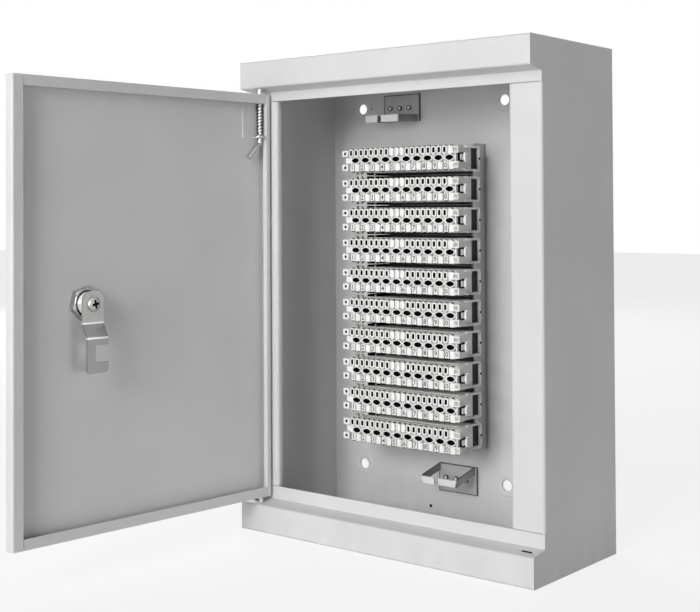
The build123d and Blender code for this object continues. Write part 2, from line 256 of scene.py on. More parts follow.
class Finish(NodeTree):
    """One material: a main shader and the fields that feed it."""

    def __init__(self, name, **fixed):
        self.material = bpy.data.materials.new(name)
        self.material.use_nodes = True
        super().__init__(self.material.node_tree)
        self.place = self.node("ShaderNodeTexCoord", output="Object")
        inputs = {socket_name(word): value for word, value in fixed.items()}
        self.shader = self.node("ShaderNodeBsdfPrincipled", inputs=inputs)

    def noise(self, size, detail=2.0, stretch=None, roughness=0.5):
        """Cloudy field with features of the given size in millimetres."""
        place = self.place
        if stretch:
            scale = {0: place, 1: stretch}
            place = self.node("ShaderNodeVectorMath", {"operation": "MULTIPLY"}, scale)
        inputs = {
            "Vector": place,
            "Scale": 1.0 / (size * MM),
            "Detail": detail,
            "Roughness": roughness,
        }
        return self.node("ShaderNodeTexNoise", {"noise_dimensions": "3D"}, inputs)

    def cells(self, size):
        """Crystal-like patches of the given size in millimetres."""
        inputs = {"Vector": self.place, "Scale": 1.0 / (size * MM), "Randomness": 1.0}
        cell = self.node("ShaderNodeTexVoronoi", {"feature": "F1"}, inputs, "Color")
        return self.node("ShaderNodeSeparateColor", inputs={"Color": cell}, output="Red")

    def steps(self, field, low, high):
        """A field spread between two thresholds."""
        return self.node("ShaderNodeValToRGB", {"stops": ((low, 0.0), (high, 1.0))}, {"Fac": field})

    def axis(self, letter):
        """The place along an axis, in metres."""
        return self.node("ShaderNodeSeparateXYZ", inputs={0: self.place}, output=letter)

    def inside(self, letters, low, high, fade):
        """1 inside a box along the given axes, 0 at its sides, over a fade, in millimetres."""
        mask = None
        for letter in letters:
            place = self.axis(letter) / MM
            near, far = getattr(low, letter.lower()), getattr(high, letter.lower())
            for depth in (place - near, far - place):
                share = (depth / fade).held()
                mask = share if mask is None else mask.lesser(share)
        return mask

    def tint(self, first, second, factor):
        """First colour turning into the second with the factor."""
        inputs = {0: factor, 6: (*first, 1.0), 7: (*second, 1.0)}
        return self.node("ShaderNodeMix", {"data_type": "RGBA"}, inputs, 2)

    def over(self, below, above, factor):
        """A plain colour laid over a colour field."""
        inputs = {0: factor, 6: below, 7: (*above, 1.0)}
        return self.node("ShaderNodeMix", {"data_type": "RGBA"}, inputs, 2)

    def relief(self, height, rise, strength=1.0):
        """Surface relief from a height field, the rise in millimetres."""
        inputs = {"Height": height, "Distance": rise * MM, "Strength": strength}
        return self.node("ShaderNodeBump", inputs=inputs)

    def shade(self, **fields):
        """The main shader with fields on its own sockets."""
        for socket, field in fields.items():
            self.join(self.shader.socket.node.inputs[socket_name(socket)], field)
        return self.shader

    def surface(self, shader):
        """The finished material with a shader as its surface."""
        self.node("ShaderNodeOutputMaterial", inputs={"Surface": shader})
        return self.material

    def feed(self, **fields):
        """The finished material with fields on the main shader's own sockets."""
        return self.surface(self.shade(**fields))


def scaled(tone, factor):
    """A colour made lighter or darker."""
    return tuple(min(1.0, channel * factor) for channel in tone)


def grey(level):
    """A plain grey."""
    return (level, level, level)


# Finishes

# Near-black painted shade of the drain slots.
DRAIN_SHADE_TONE = grey(0.006)
# Painted highlight of the rings' front bars.
BAR_HIGHLIGHT_TONE = grey(0.96)
# Painted highlight of the cam's bends.
BEND_HIGHLIGHT_TONE = grey(0.95)
RING_PLATE_TONE = grey(0.62)
# Painted shadow round the ring plates' edges.
RING_EDGE_SHADOW_TONE = grey(0.07)
FLOOR_LIFT = 0.82


def powder_coat(name, tone, settings, shade_boxes=()):
    """Semi-matt powder coat: orange peel, soft tone changes, dust near the base, near-black painted
    shade inside given boxes.
    """
    finish = Finish(name, metallic=0.0, coat_weight=0.0)
    grain = settings.grain / MM
    peel = finish.noise(grain, 1.5)
    fine = finish.noise(grain / 4, 2.0)
    cloud = finish.noise(70.0, 3.0)
    smear = finish.noise(14.0, 4.0, (1.0, 1.0, 0.35))
    base = finish.tint(scaled(tone, 0.955), scaled(tone, 1.03), finish.steps(cloud, 0.3, 0.7))
    dust = (1.0 - finish.axis("Z") / settings.dust_height).held()
    dust = dust * finish.steps(smear, 0.35, 0.75) * 0.35
    shade = finish.over(base, scaled(tone, 0.72), dust)
    pits = finish.steps(fine, 0.66, 0.8) * 0.12
    shade = finish.over(shade, scaled(tone, 0.8), pits)
    # Painted shade: the coat turns near-black inside each given box.
    for low, high in shade_boxes:
        shade = finish.over(shade, DRAIN_SHADE_TONE, finish.inside("XY", low, high, 0.05))
    gloss = 0.4 + peel * 0.1 + smear * 0.08 + dust * 0.4
    height = peel * 0.75 + fine * 0.25
    bump = finish.relief(height, settings.relief / MM, 0.9)
    return finish.feed(base_color=shade, roughness=gloss, normal=bump)


def zinc_plate(name, tone):
    """Bright zinc with faint crystals, a slightly uneven passivation and hairline scratches."""
    finish = Finish(name, metallic=1.0)
    crystals = finish.cells(1.4)
    passive = finish.noise(6.0, 3.0)
    scratch = finish.noise(0.35, 2.0, (1.0, 1.0, 0.06))
    base = finish.tint(scaled(tone, 0.86), scaled(tone, 1.12), crystals * 0.6 + passive * 0.4)
    yellow = (tone[0] * 1.0, tone[1] * 0.95, tone[2] * 0.8)
    base = finish.over(base, yellow, finish.steps(passive, 0.45, 0.7) * 0.3)
    gloss = 0.26 + crystals * 0.1 + scratch * 0.14
    bump = finish.relief(crystals * 0.4 + scratch * 0.6, 0.02, 0.5)
    return finish.feed(base_color=base, roughness=gloss, normal=bump)


def chrome_plate(name, tone):
    """Chrome over pressed metal: smooth, with a little haze and fingermarks."""
    finish = Finish(name, metallic=1.0)
    haze = finish.noise(9.0, 3.0)
    swirl = finish.noise(1.6, 3.0)
    base = finish.tint(scaled(tone, 0.92), scaled(tone, 1.06), haze)
    gloss = 0.12 + finish.steps(haze, 0.4, 0.75) * 0.12 + swirl * 0.06
    bump = finish.relief(swirl, 0.012, 0.4)
    return finish.feed(base_color=base, roughness=gloss, normal=bump)


def satin_steel(name, tone, pitch, along):
    """Stainless sheet with fine satin lines along one axis."""
    finish = Finish(name, metallic=1.0)
    stretch = tuple(0.03 if axis == along else 1.0 for axis in "XYZ")
    lines = finish.noise(pitch, 3.0, stretch, 0.65)
    haze = finish.noise(22.0, 3.0)
    base = finish.tint(scaled(tone, 0.84), scaled(tone, 1.12), lines * 0.55 + haze * 0.45)
    gloss = 0.3 + lines * 0.18 + haze * 0.06
    bump = finish.relief(lines, 0.014, 0.6)
    return finish.feed(base_color=base, roughness=gloss, normal=bump)


def ring_steel(name, tone, pitch, low, high):
    """Steel strip of a cable ring: front bars painted bright as a highlight, a clean plate, a painted
    dark shadow round the plate's edges.
    """
    finish = Finish(name)
    lines = finish.noise(pitch, 3.0, (0.05, 1.0, 1.0), 0.65)
    haze = finish.noise(12.0, 3.0)
    base = finish.tint(scaled(tone, 0.8), scaled(tone, 1.15), lines * 0.55 + haze * 0.45)
    depth = finish.axis("Y")
    # Painted highlight: the front bars turn bright and lose their metal.
    bar_highlight = (((low.y + 2.2) * MM - depth) / (0.9 * MM)).held()
    plate = ((depth - (high.y - 1.9) * MM) / (0.4 * MM)).held()
    base = finish.over(base, BAR_HIGHLIGHT_TONE, bar_highlight)
    base = finish.over(base, RING_PLATE_TONE, plate * 0.8)
    # Painted shadow: a dark outline round the plate's edges.
    margin = Vector((0.55, 0.0, 0.55))
    outline = 1.0 - finish.inside("XZ", low + margin, high - margin, 0.4)
    base = finish.over(base, RING_EDGE_SHADOW_TONE, plate * outline * 0.9)
    shine = 1.0 - bar_highlight - plate * 0.7
    gloss = 0.36 + lines * 0.16
    bump = finish.relief(lines, 0.014, 0.6)
    return finish.feed(base_color=base, metallic=shine, roughness=gloss, normal=bump)


def rivet_zinc(name, tone, centres, radius):
    """Zinc of the rivets: a painted highlight in the middle of each head, painted shade round its rim.
    """
    finish = Finish(name, metallic=0.3)
    passive = finish.noise(0.8, 3.0)
    across, up = finish.axis("X") / MM, finish.axis("Z") / MM
    nearest = None
    for x, z in centres:
        away = ((across - x) * (across - x) + (up - z) * (up - z)).power(0.5)
        nearest = away if nearest is None else nearest.lesser(away)
    # Painted shade round each head's rim, painted highlight in its middle.
    rim = ((nearest - radius * 0.55) / (radius * 0.2)).held()
    base = finish.tint(scaled(tone, 1.3), scaled(tone, 0.06), rim)
    gloss = 0.35 + passive * 0.25
    return finish.feed(base_color=base, roughness=gloss, normal=finish.relief(passive, 0.02, 0.4))


def moulded_plastic(name, tone):
    """Glossy moulded plastic, lightly handled."""
    finish = Finish(name, metallic=0.0)
    flow = finish.noise(11.0, 3.0)
    bloom = finish.noise(1.2, 3.0)
    mould = finish.noise(0.22, 2.0)
    yellow = (tone[0] * 0.97, tone[1] * 0.945, tone[2] * 0.88)
    base = finish.tint(tone, yellow, finish.steps(flow, 0.35, 0.75) * 0.45)
    base = finish.over(base, scaled(tone, 0.8), finish.steps(bloom, 0.55, 0.8) * 0.14)
    gloss = 0.33 + flow * 0.1 + bloom * 0.12
    bump = finish.relief(mould * 0.6 + bloom * 0.4, 0.012, 0.6)
    return finish.feed(base_color=base, roughness=gloss, normal=bump)


def painted_shade_finish(name, tone):
    """Painted shade: a near-black colour that stands in for the unlit depth of a slot, recess or hole,
    with a little dust.
    """
    finish = Finish(name, metallic=0.0, specular_ior_level=0.1)
    lint = finish.noise(0.5, 3.0)
    base = finish.tint(tone, scaled(tone, 2.2), finish.steps(lint, 0.5, 0.8))
    return finish.feed(base_color=base, roughness=0.8 + lint * 0.2)


def printed_ink(name, tone):
    """Ink of the pair numbers, thin in places."""
    finish = Finish(name, metallic=0.0)
    thin = finish.noise(0.3, 2.0)
    base = finish.tint(tone, scaled(tone, 4.0), finish.steps(thin, 0.5, 0.85))
    return finish.feed(base_color=base, roughness=0.45 + thin * 0.2)


def dull_rubber(name):
    """Black rubber with a mould grain and grey bloom."""
    finish = Finish(name, metallic=0.0)
    grain = finish.noise(0.4, 3.0)
    bloom = finish.noise(7.0, 3.0)
    base = finish.tint((0.016, 0.016, 0.017), (0.05, 0.05, 0.05), finish.steps(bloom, 0.4, 0.8))
    bump = finish.relief(grain, 0.04, 0.7)
    return finish.feed(base_color=base, roughness=0.62 + grain * 0.2, normal=bump)


def floor_paint(name, tone, low, high):
    """Even pale floor, faintly mottled, lifted towards white where it is seen round the cabinet."""
    finish = Finish(name, metallic=0.0)
    mottle = finish.noise(180.0, 4.0)
    base = finish.tint(scaled(tone, 0.985), tone, mottle)
    paint = finish.shade(base_color=base, roughness=0.75 + mottle * 0.1)
    glow = finish.node("ShaderNodeEmission", inputs={"Strength": 1.0})
    lift = finish.seen() * FLOOR_LIFT * (1.0 - finish.inside("XY", low, high, 2.0))
    return finish.surface(finish.blended(lift, paint, glow))


# Mesh making, in millimetres

SQUARE_CORNER = 0.02


class Stock:
    """A mesh being made, with the material of each of its faces."""

    def __init__(self, *materials):
        self.mesh = bmesh.new()
        self.materials = list(materials)

    def skin(self, rings, finish=0, start=None, end=None, smooth=False, looped=False):
        """Faces between rings of equally many points. start and end close it in a finish."""
        rows = [[self.mesh.verts.new(point) for point in ring] for ring in rings]
        if looped:
            rows.append(rows[0])
        count = len(rows[0])
        for row, following in zip(rows, rows[1:]):
            for here in range(count):
                there = (here + 1) % count
                face = self.mesh.faces.new((row[here], row[there], following[there], following[here]))
                face.material_index = finish
                face.smooth = smooth
        for row, closing in ((rows[0], start), (rows[-1], end)):
            if closing is not None:
                face = self.mesh.faces.new(row)
                face.material_index = closing

    def block(self, low, high, finish=0, edge=0.0):
        """A box with its edges along Y and its front edges taken off."""
        width, height = high[0] - low[0], high[2] - low[2]
        middle = ((low[0] + high[0]) / 2, (low[2] + high[2]) / 2)
        outline = rounded_outline(width, height, max(edge, SQUARE_CORNER), 2)
        inner = rounded_outline(width - 2 * edge, height - 2 * edge, SQUARE_CORNER, 2)
        rings = [facing(outline, middle, high[1]), facing(outline, middle, low[1] + edge)]
        if edge > 0.0:
            rings.append(facing(inner, middle, low[1]))
        self.skin(rings, finish, finish, finish)

    def pad(self, across, half, depths, level, spread, finish=0, edge=0.0):
        """A block: its middle across and half width, its depths, and its spread round a level."""
        low = (across - half, depths[0], level + spread[0])
        high = (across + half, depths[1], level + spread[1])
        self.block(low, high, finish, edge)

    def shaped(self, points, faces, finish, place):
        """Ready-made points and faces set at a place."""
        corners = [self.mesh.verts.new(place @ Vector(point)) for point in points]
        for indices in faces:
            face = self.mesh.faces.new([corners[index] for index in indices])
            face.material_index = finish

    def piece(self, name, body, replaced=()):
        """The finished object, riding on its body and standing for the named nodes."""
        bmesh.ops.recalc_face_normals(self.mesh, faces=self.mesh.faces)
        bmesh.ops.scale(self.mesh, vec=(MM, MM, MM), verts=self.mesh.verts)
        data = bpy.data.meshes.new(name)
        self.mesh.to_mesh(data)
        self.mesh.free()
        for material in self.materials:
            data.materials.append(material)
        made = bpy.data.objects.new(name, data)
        bpy.context.scene.collection.objects.link(made)
        if replaced:
            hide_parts(*replaced)
        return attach(made, body)


def rounded_outline(width, height, radius, steps):
    """Points round a rectangle with rounded corners."""
    points = []
    for corner, (side, level) in enumerate(((1, 1), (-1, 1), (-1, -1), (1, -1))):
        centre = (side * (width / 2 - radius), level * (height / 2 - radius))
        for step in range(steps):
            angle = math.radians(90 * (corner + step / (steps - 1)))
            across = centre[0] + radius * math.cos(angle)
            points.append((across, centre[1] + radius * math.sin(angle)))
    return points


def pointed_outline(width, height, count, sharp):
    """Points round a flat opening, from an ellipse (sharp 2) to a diamond (sharp 1)."""
    points = []
    for step in range(count):
        angle = 2 * math.pi * step / count
        across, up = math.cos(angle), math.sin(angle)
        reach = width / 2 * math.copysign(abs(across) ** (2 / sharp), across)
        points.append((reach, height / 2 * math.copysign(abs(up) ** (2 / sharp), up)))
    return points


def circle_outline(radius, count):
    """Points round a circle."""
    angles = [2 * math.pi * step / count for step in range(count)]
    return [(radius * math.cos(angle), radius * math.sin(angle)) for angle in angles]


def facing(outline, middle, depth):
    """A flat outline set upright, facing the front of the cabinet."""
    return [Vector((middle[0] + across, depth, middle[1] + up)) for across, up in outline]


def upright_ring(outline, height, place):
    """A flat outline at a height along a place's Z axis."""
    return [place @ Vector((x, y, height)) for x, y in outline]


def turned(profile, place, count):
    """Rings of a turned shape about its Z axis, each from a radius and a height."""
    return [upright_ring(circle_outline(radius, count), height, place) for radius, height in profile]


def node_box(node):
    """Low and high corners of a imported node, in millimetres."""
    low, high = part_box(node)
    return low / MM, high / MM


def head_places(node, apart):
    """Places across and up of a node's separate round heads, and their radius, in millimetres."""
    heads = []
    for vertex in frame["nodes"][node].data.vertices:
        across, up = vertex.co.x / MM, vertex.co.z / MM
        for head in heads:
            if math.hypot(across - head[0][0], up - head[0][1]) < apart:
                head.append((across, up))
                break
        else:
            heads.append([(across, up)])
    spans = [(min(line), max(line)) for head in heads for line in zip(*head)]
    middles = [(low + high) / 2 for low, high in spans]
    return list(zip(middles[::2], middles[1::2])), (spans[0][1] - spans[0][0]) / 2


def lay(material, *nodes):
    """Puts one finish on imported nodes."""
    for node in nodes:
        data = frame["nodes"][node].data
        data.materials.clear()
        data.materials.append(material)


def digit_shapes(height):
    """Flat outline meshes of the plain digits, keyed by digit."""
    shapes = {}
    for digit in DIGITS:
        curve = bpy.data.curves.new("digit_" + digit, "FONT")
        curve.body = digit
        curve.size = height / DIGIT_SHARE
        curve.align_x = "CENTER"
        curve.align_y = "CENTER"
        curve.resolution_u = 2
        curve.offset = height * DIGIT_WEIGHT
        carrier = bpy.data.objects.new("digit_" + digit, curve)
        data = bpy.data.meshes.new_from_object(carrier)
        points = [tuple(vertex.co) for vertex in data.vertices]
        shapes[digit] = (points, [tuple(face.vertices) for face in data.polygons])
        bpy.data.objects.remove(carrier)
        bpy.data.meshes.remove(data)
        bpy.data.curves.remove(curve)
    return shapes


# Disconnection modules
#
# Depths are along Y, smaller towards the front. Levels and spreads are heights, and spreads and
# the depths of ears and latches are measured from the module's own middle and front.

MODULE_COUNT = 10
SLOT_COUNT = 20
PAIR_COUNT = 10
CONTACT_PITCH = 4.61
# Finishes of a module's faces: white plastic, near-black painted shade, silver contacts, ink, and dark
# grey painted shade.
WHITE, PAINTED_SHADE, SILVER, INK, STEEL_SHADE = range(5)

FACE_RIM = 0.35
TOOTH_FRONT = -1.6
STRIP_FRONT = -1.5
LENS_FRONT = -2.45
NUMBER_FRONT = -1.25
SLAB_FRONT = 2.0
SEAT = 2.1
SLAB_DEPTH = 14.0
SLAB_SPREAD = (-8.2, 8.2)
BODY_HALF = 41.4
BODY_SPREAD = (-9.0, 9.0)
RECESS_DEPTH = 8.5
RECESS_SPREAD = (-7.6, 7.6)

SLOT_LEVEL = 5.55
SLOT_ROUND = 0.4
CELL_HEIGHT = 5.8
CELL_ROUND = 0.95
PLUG_DEPTHS = {9: 0.6, 10: 1.2, 11: 0.6, 20: 0.6}
PLUG_HALF = 1.5
PLUG_SPREAD = (-2.4, 2.4)

LENS_POINTS = 28
LENS_DROP = 0.1
LENS_SHARP = 1.75
LENS_FRAME = (9.15, 6.2)
LENS_FRAME_SHARP = 1.3
LENS_FRAME_CLIP = 2.6
WEB_ASIDE, WEB_HALF = 4.45, 0.55
WEB_SPREAD = (-2.6, 2.4)
STRIP_SPREAD = (-2.3, 2.2)

DIGITS = "1234567890"
DIGIT_SHARE = 0.7
DIGIT_WEIGHT = 0.022
DIGIT_LEVEL = -5.7
NUMBER_ASIDE = 0.8
NUMBER_HALF, PLAIN_HALF = 1.7, 2.1
NUMBER_SPREAD = (-8.3, -3.1)
PLAIN_SPREAD = (-8.6, -2.95)
GROOVE_ASIDE, GROOVE_HALF = 2.1, 0.36
GROOVE_FRONT = 0.3
GROOVE_SPREAD = (-7.6, -3.8)

EAR_LEVEL = 5.3
LEFT_EAR, LEFT_PIT = (5.6, 4.9, 0.7), (1.9, 1.9, 0.25)
LEFT_EAR_ASIDE, LEFT_EAR_DEPTH = 2.8, 3.0
RIGHT_EAR, RIGHT_PIT = (5.4, 4.9, 0.6), (3.7, 2.9, 0.3)
RIGHT_EAR_ASIDE, RIGHT_EAR_PROUD, RIGHT_PIT_DEPTH = 0.9, 0.6, 1.3
EAR_RIBS = (-0.99, 0.0, 0.99)

# Parts of a latch nose: their reach from the end of the face, depths and spread.
LATCH_PARTS = (
    ((-0.3, 3.9), (2.2, 7.2), (-2.2, 2.2)),
    ((-3.0, 5.5), (7.2, 11.0), (-3.6, 3.6)),
    ((3.9, 5.5), (5.6, 7.4), (-3.0, 3.0)),
)
LATCH_SLOT = (
    ((1.1, 3.5), (2.0, 7.4), (-2.9, 2.9)),
    ((0.3, 4.0), (2.0, 7.4), (-3.2, -2.2)),
    ((0.3, 4.0), (2.0, 7.4), (2.2, 3.2)),
)

RIM_NEAR, RIM_FAR = 41.6, 44.0
RIM_WIRE = 1.6
RIM_WIRE_ROUND = 0.5
RIM_ROUND = 2.6
RIM_STEPS = 6
RIM_LENGTH = 19.0
RIM_HALF = 9.3

HOLDER_HALF, HOLDER_END = 10.8, 9.0
HOLDER_LEFT, HOLDER_RIGHT = 42.0, 37.0
HOLDER_UPRIGHT = 34.4
HOLDER_TABS = (-46.6, -42.2)
HOLDER_TAB_WIDTH = 2.4
HOLDER_TAB_DEPTHS = (6.0, 8.5)
HOLDER_TAB_LEVEL = 7.5
# Dark grey painted shade of the holder, the rear recess and the left ear pits.
HOLDER_SHADE_TONE = grey(0.07)

NOTCH_HALF, NOTCH_DEPTHS = 0.5, (-0.4, 1.4)
CONTACT_HALF, CONTACT_DEPTHS = 0.3, (1.5, 3.4)
CONTACT_SPREADS = ((8.0, 8.95), (-9.0, -8.0))
RIB_HALF = 0.45
FRONT_RIB_SPREAD, BACK_RIB_SPREAD = (-8.75, 8.75), (-9.3, 9.3)


def module_plan():
    """Plan sizes shared by all modules, read from the first packed module."""
    low, high = node_box("module_01")
    strip_low, strip_high = node_box("module_test_strips")
    centre = (strip_high.x + strip_low.x) / 2
    return {
        "centre": centre,
        "half": (strip_high.x - strip_low.x) / 2,
        "front": low.y,
        "back": high.y,
        "first": centre - CONTACT_PITCH * (SLOT_COUNT - 1) / 2,
    }


def framed_opening(stock, outer, inner, middle, front, back, floor):
    """A raised frame with an opening whose floor lies at the back."""
    shrunk = [(x * 0.93, y * 0.95) for x, y in outer]
    spread = [(x * 1.1, y * 1.06) for x, y in inner]
    lip = facing(inner, middle, front + FACE_RIM / 2)
    stock.skin(
        [
            facing(outer, middle, back),
            facing(outer, middle, front + FACE_RIM),
            facing(shrunk, middle, front),
            facing(spread, middle, front),
            lip,
        ]
    )
    # The opening's walls and floor take the floor finish: near-black painted shade where the opening
    # is open.
    stock.skin([lip, facing(inner, middle, back - 0.1)], floor, None, floor)


def slot_row(stock, plan, level, settings):
    """Upper row of twenty framed contact slots, a few of them plugged."""
    outer = rounded_outline(settings.cell_width / MM, CELL_HEIGHT, CELL_ROUND, 4)
    inner = rounded_outline(settings.slot_width / MM, settings.slot_height / MM, SLOT_ROUND, 4)
    for slot in range(1, SLOT_COUNT + 1):
        middle = (plan["first"] + CONTACT_PITCH * (slot - 1), level + SLOT_LEVEL)
        if slot not in PLUG_DEPTHS:
            # An open slot: near-black inside, painted shade.
            framed_opening(stock, outer, inner, middle, TOOTH_FRONT, SLAB_FRONT, PAINTED_SHADE)
            continue
        plug = TOOTH_FRONT + PLUG_DEPTHS[slot]
        framed_opening(stock, outer, inner, middle, TOOTH_FRONT, plug, WHITE)
        stock.pad(middle[0], PLUG_HALF, (plug - 0.05, SEAT), middle[1], PLUG_SPREAD)


def lens_row(stock, plan, level, settings):
    """Middle strip of ten pointed test openings in six-sided frames."""
    outer = pointed_outline(*LENS_FRAME, LENS_POINTS, LENS_FRAME_SHARP)
    clipped = [(x, max(-LENS_FRAME_CLIP, min(LENS_FRAME_CLIP, z))) for x, z in outer]
    size = (settings.lens_width / MM, settings.lens_height / MM)
    inner = pointed_outline(*size, LENS_POINTS, LENS_SHARP)
    for pair in range(PAIR_COUNT):
        middle = (plan["first"] + CONTACT_PITCH * (2 * pair + 1), level - LENS_DROP)
        # Each test opening: near-black inside, painted shade.
        framed_opening(stock, clipped, inner, middle, LENS_FRONT, SLAB_FRONT - 0.1, PAINTED_SHADE)
        for web in (middle[0] - WEB_ASIDE, middle[0] + WEB_ASIDE):
            stock.pad(web, WEB_HALF, (STRIP_FRONT, SEAT), level, WEB_SPREAD, edge=0.2)
    low = (plan["centre"] - plan["half"] + 0.4, STRIP_FRONT, level + STRIP_SPREAD[0])
    stock.block(low, (plan["first"] - 0.2, SEAT, level + STRIP_SPREAD[1]), edge=0.3)


def number_row(stock, plan, level, shapes):
    """Lower row: a numbered cell between two grooves coloured near-black as painted shade, and a plain
    cell, to each pair.
    """
    upright = Matrix.Rotation(math.radians(90), 4, "X")
    for pair, digit in enumerate(DIGITS):
        numbered = plan["first"] + CONTACT_PITCH * 2 * pair + NUMBER_ASIDE
        plain = numbered + CONTACT_PITCH
        stock.pad(numbered, NUMBER_HALF, (NUMBER_FRONT, SEAT), level, NUMBER_SPREAD, edge=0.3)
        stock.pad(plain, PLAIN_HALF, (TOOTH_FRONT, SEAT), level, PLAIN_SPREAD, edge=0.5)
        for groove in (numbered - GROOVE_ASIDE, numbered + GROOVE_ASIDE):
            stock.pad(groove, GROOVE_HALF, (GROOVE_FRONT, SEAT), level, GROOVE_SPREAD, PAINTED_SHADE)
        points, faces = shapes[digit]
        place = Matrix.Translation((numbered, NUMBER_FRONT - 0.03, level + DIGIT_LEVEL))
        stock.shaped(points, faces, INK, place @ upright)


def ears(stock, plan, level):
    """Pairs of square ears at both ends: with small pits on the left, their floors dark grey as
    painted shade, ribbed on the right.
    """
    front = plan["front"]
    left = plan["centre"] - plan["half"] - LEFT_EAR_ASIDE
    right = plan["centre"] + plan["half"] + RIGHT_EAR_ASIDE
    left_ear, left_pit = (rounded_outline(*size, 4) for size in (LEFT_EAR, LEFT_PIT))
    right_ear, right_pit = (rounded_outline(*size, 4) for size in (RIGHT_EAR, RIGHT_PIT))
    for up in (level - EAR_LEVEL, level + EAR_LEVEL):
        depths = (front, front + LEFT_EAR_DEPTH)
        framed_opening(stock, left_ear, left_pit, (left, up), *depths, STEEL_SHADE)
        depths = (front - RIGHT_EAR_PROUD, front + RIGHT_PIT_DEPTH)
        framed_opening(stock, right_ear, right_pit, (right, up), *depths, WHITE)
        for rib in EAR_RIBS:
            stock.pad(right, 1.6, (front + 0.1, front + RIGHT_PIT_DEPTH), up + rib, (-0.22, 0.22))
        stock.pad(right, 2.5, (front + 1.2, front + 4.0), up, (-2.3, 2.3))


def latch(stock, plan, level, hand):
    """Latch nose at an end: a stem, a plate and a pad, with an I-shaped slot on the right, near-black
    inside as painted shade.
    """
    end, front = plan["centre"] + hand * plan["half"], plan["front"]
    parts = [(*part, WHITE, 0.3) for part in LATCH_PARTS]
    if hand > 0:
        parts += [(*part, PAINTED_SHADE, 0.0) for part in LATCH_SLOT]
    for reach, depths, spread, finish, edge in parts:
        near, far = sorted(end + hand * along for along in reach)
        low = (near, front + depths[0], level + spread[0])
        stock.block(low, (far, front + depths[1], level + spread[1]), finish, edge)


def end_rim(stock, near, far, front, back, low, high):
    """C-shaped end rim of flat wire with rounded corners and edges."""
    outline = rounded_outline(far - near, RIM_WIRE, RIM_WIRE_ROUND, 3)
    path = [(front, high)]
    for corner, level in ((90, high - RIM_ROUND), (0, low + RIM_ROUND)):
        for step in range(RIM_STEPS):
            angle = math.radians(corner - 90 * step / (RIM_STEPS - 1))
            depth = back - RIM_ROUND + RIM_ROUND * math.cos(angle)
            path.append((depth, level + RIM_ROUND * math.sin(angle)))
    path.append((front, low))
    rings = []
    for index, (depth, level) in enumerate(path):
        before = Vector(path[max(index - 1, 0)])
        after = Vector(path[min(index + 1, len(path) - 1)])
        run = (after - before).normalized()
        inward = Vector((0.0, run.y, -run.x))
        middle = Vector(((near + far) / 2, depth, level)) + inward * (RIM_WIRE / 2)
        rings.append([middle + Vector((side, 0.0, 0.0)) + inward * lift for side, lift in outline])
    stock.skin(rings, WHITE, WHITE, WHITE, smooth=True)


def holder(stock, plan, number, level):
    """Steel holder behind the module, coloured near-black and dark grey as painted shade where it
    shows in the gaps, with its bright upright.
    """
    back = plan["back"]
    left = plan["centre"] - HOLDER_LEFT
    upright = plan["centre"] - HOLDER_UPRIGHT
    top = level + (HOLDER_END if number == 1 else HOLDER_HALF)
    bottom = level - (HOLDER_END if number == MODULE_COUNT else HOLDER_HALF)
    right = plan["centre"] + HOLDER_RIGHT
    stock.block((left, back - 4.5, bottom), (right, back - 1.0, top), STEEL_SHADE)
    stock.block((left, back - 23.0, bottom), (upright, back - 4.0, top), PAINTED_SHADE)
    stock.block((upright - 0.5, back - 23.4, bottom), (upright + 0.3, back - 22.0, top), SILVER)
    near, far = HOLDER_TAB_DEPTHS
    for tab in HOLDER_TABS:
        start = plan["centre"] + tab
        end = start + HOLDER_TAB_WIDTH
        for foot, head in (
            (bottom + 0.2, level - HOLDER_TAB_LEVEL),
            (level + HOLDER_TAB_LEVEL, top - 0.2),
        ):
            stock.block((start, near, foot), (end, far, head), SILVER, edge=0.2)


def contacts(stock, plan, level):
    """Notches, near-black as painted shade, contacts and ribs along the module's top and bottom."""
    centre, front, back = plan["centre"], plan["front"], plan["back"]
    front_rib = (SLAB_FRONT + 3.4, 12.6)
    back_rib = (front + 13.5, back - 9.0)
    for slot in range(SLOT_COUNT):
        across = plan["first"] + CONTACT_PITCH * slot
        for spread in CONTACT_SPREADS:
            stock.pad(across, NOTCH_HALF, NOTCH_DEPTHS, level, spread, PAINTED_SHADE)
            stock.pad(across, CONTACT_HALF, CONTACT_DEPTHS, level, spread, SILVER)
        for rib in (across, across + CONTACT_PITCH / 2):
            stock.pad(rib, RIB_HALF, front_rib, level, FRONT_RIB_SPREAD, edge=0.2)
            if abs(rib - centre) < BODY_HALF - 1:
                stock.pad(rib, RIB_HALF, back_rib, level, BACK_RIB_SPREAD, edge=0.2)


